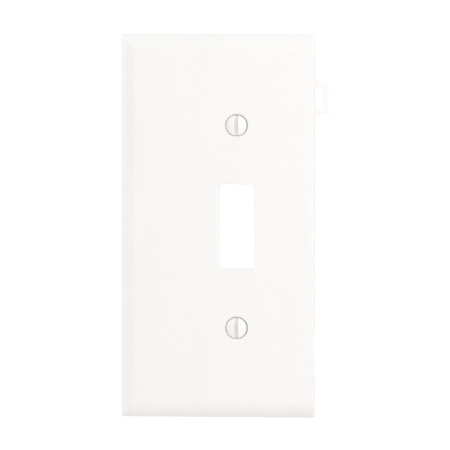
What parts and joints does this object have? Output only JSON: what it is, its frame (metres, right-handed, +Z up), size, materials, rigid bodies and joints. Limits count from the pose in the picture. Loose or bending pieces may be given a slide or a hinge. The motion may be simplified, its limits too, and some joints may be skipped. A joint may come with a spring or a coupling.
{
  "type": "sectional toggle switch wall plate",
  "caption": "White sectional wall plate for a toggle switch: left end panel with rolled edges, a square butt edge, a snap loop that joins it to the next panel, and mounting screws.",
  "frame": {"origin": "on the wall plane, at the middle of the switch's opening, which is also midway between the two screws", "axes": "+Z up, +X towards the butt edge with the loop, -Y out of the wall towards the viewer"},
  "size_m": [0.0629, 0.0137, 0.1142],
  "materials": {
    "white_nylon": "satin",
    "painted_screw": "satin white enamel"
  },
  "bodies": {
    "cover_plate": {"cover_plate": "white_nylon"},
    "interlock_loop": {"interlock_loop": "white_nylon"},
    "upper_screw": {"upper_screw": "painted_screw"},
    "lower_screw": {"lower_screw": "painted_screw"}
  },
  "joints": [
    {"name": "loop_flex", "type": "hinge", "parent": "cover_plate", "child": "interlock_loop", "pos_m": [0.02302, -0.00245, 0.0381], "axis": [0, 0, 1], "range_deg": [0, 8], "stiffness_Nm_per_rad": 0.3},
    {"name": "upper_screw_travel", "type": "slide", "parent": "cover_plate", "child": "upper_screw", "axis": [0, -1, 0], "range_m": [0, 0.0135]},
    {"name": "lower_screw_travel", "type": "slide", "parent": "cover_plate", "child": "lower_screw", "axis": [0, -1, 0], "range_m": [0, 0.0135]}
  ]
}
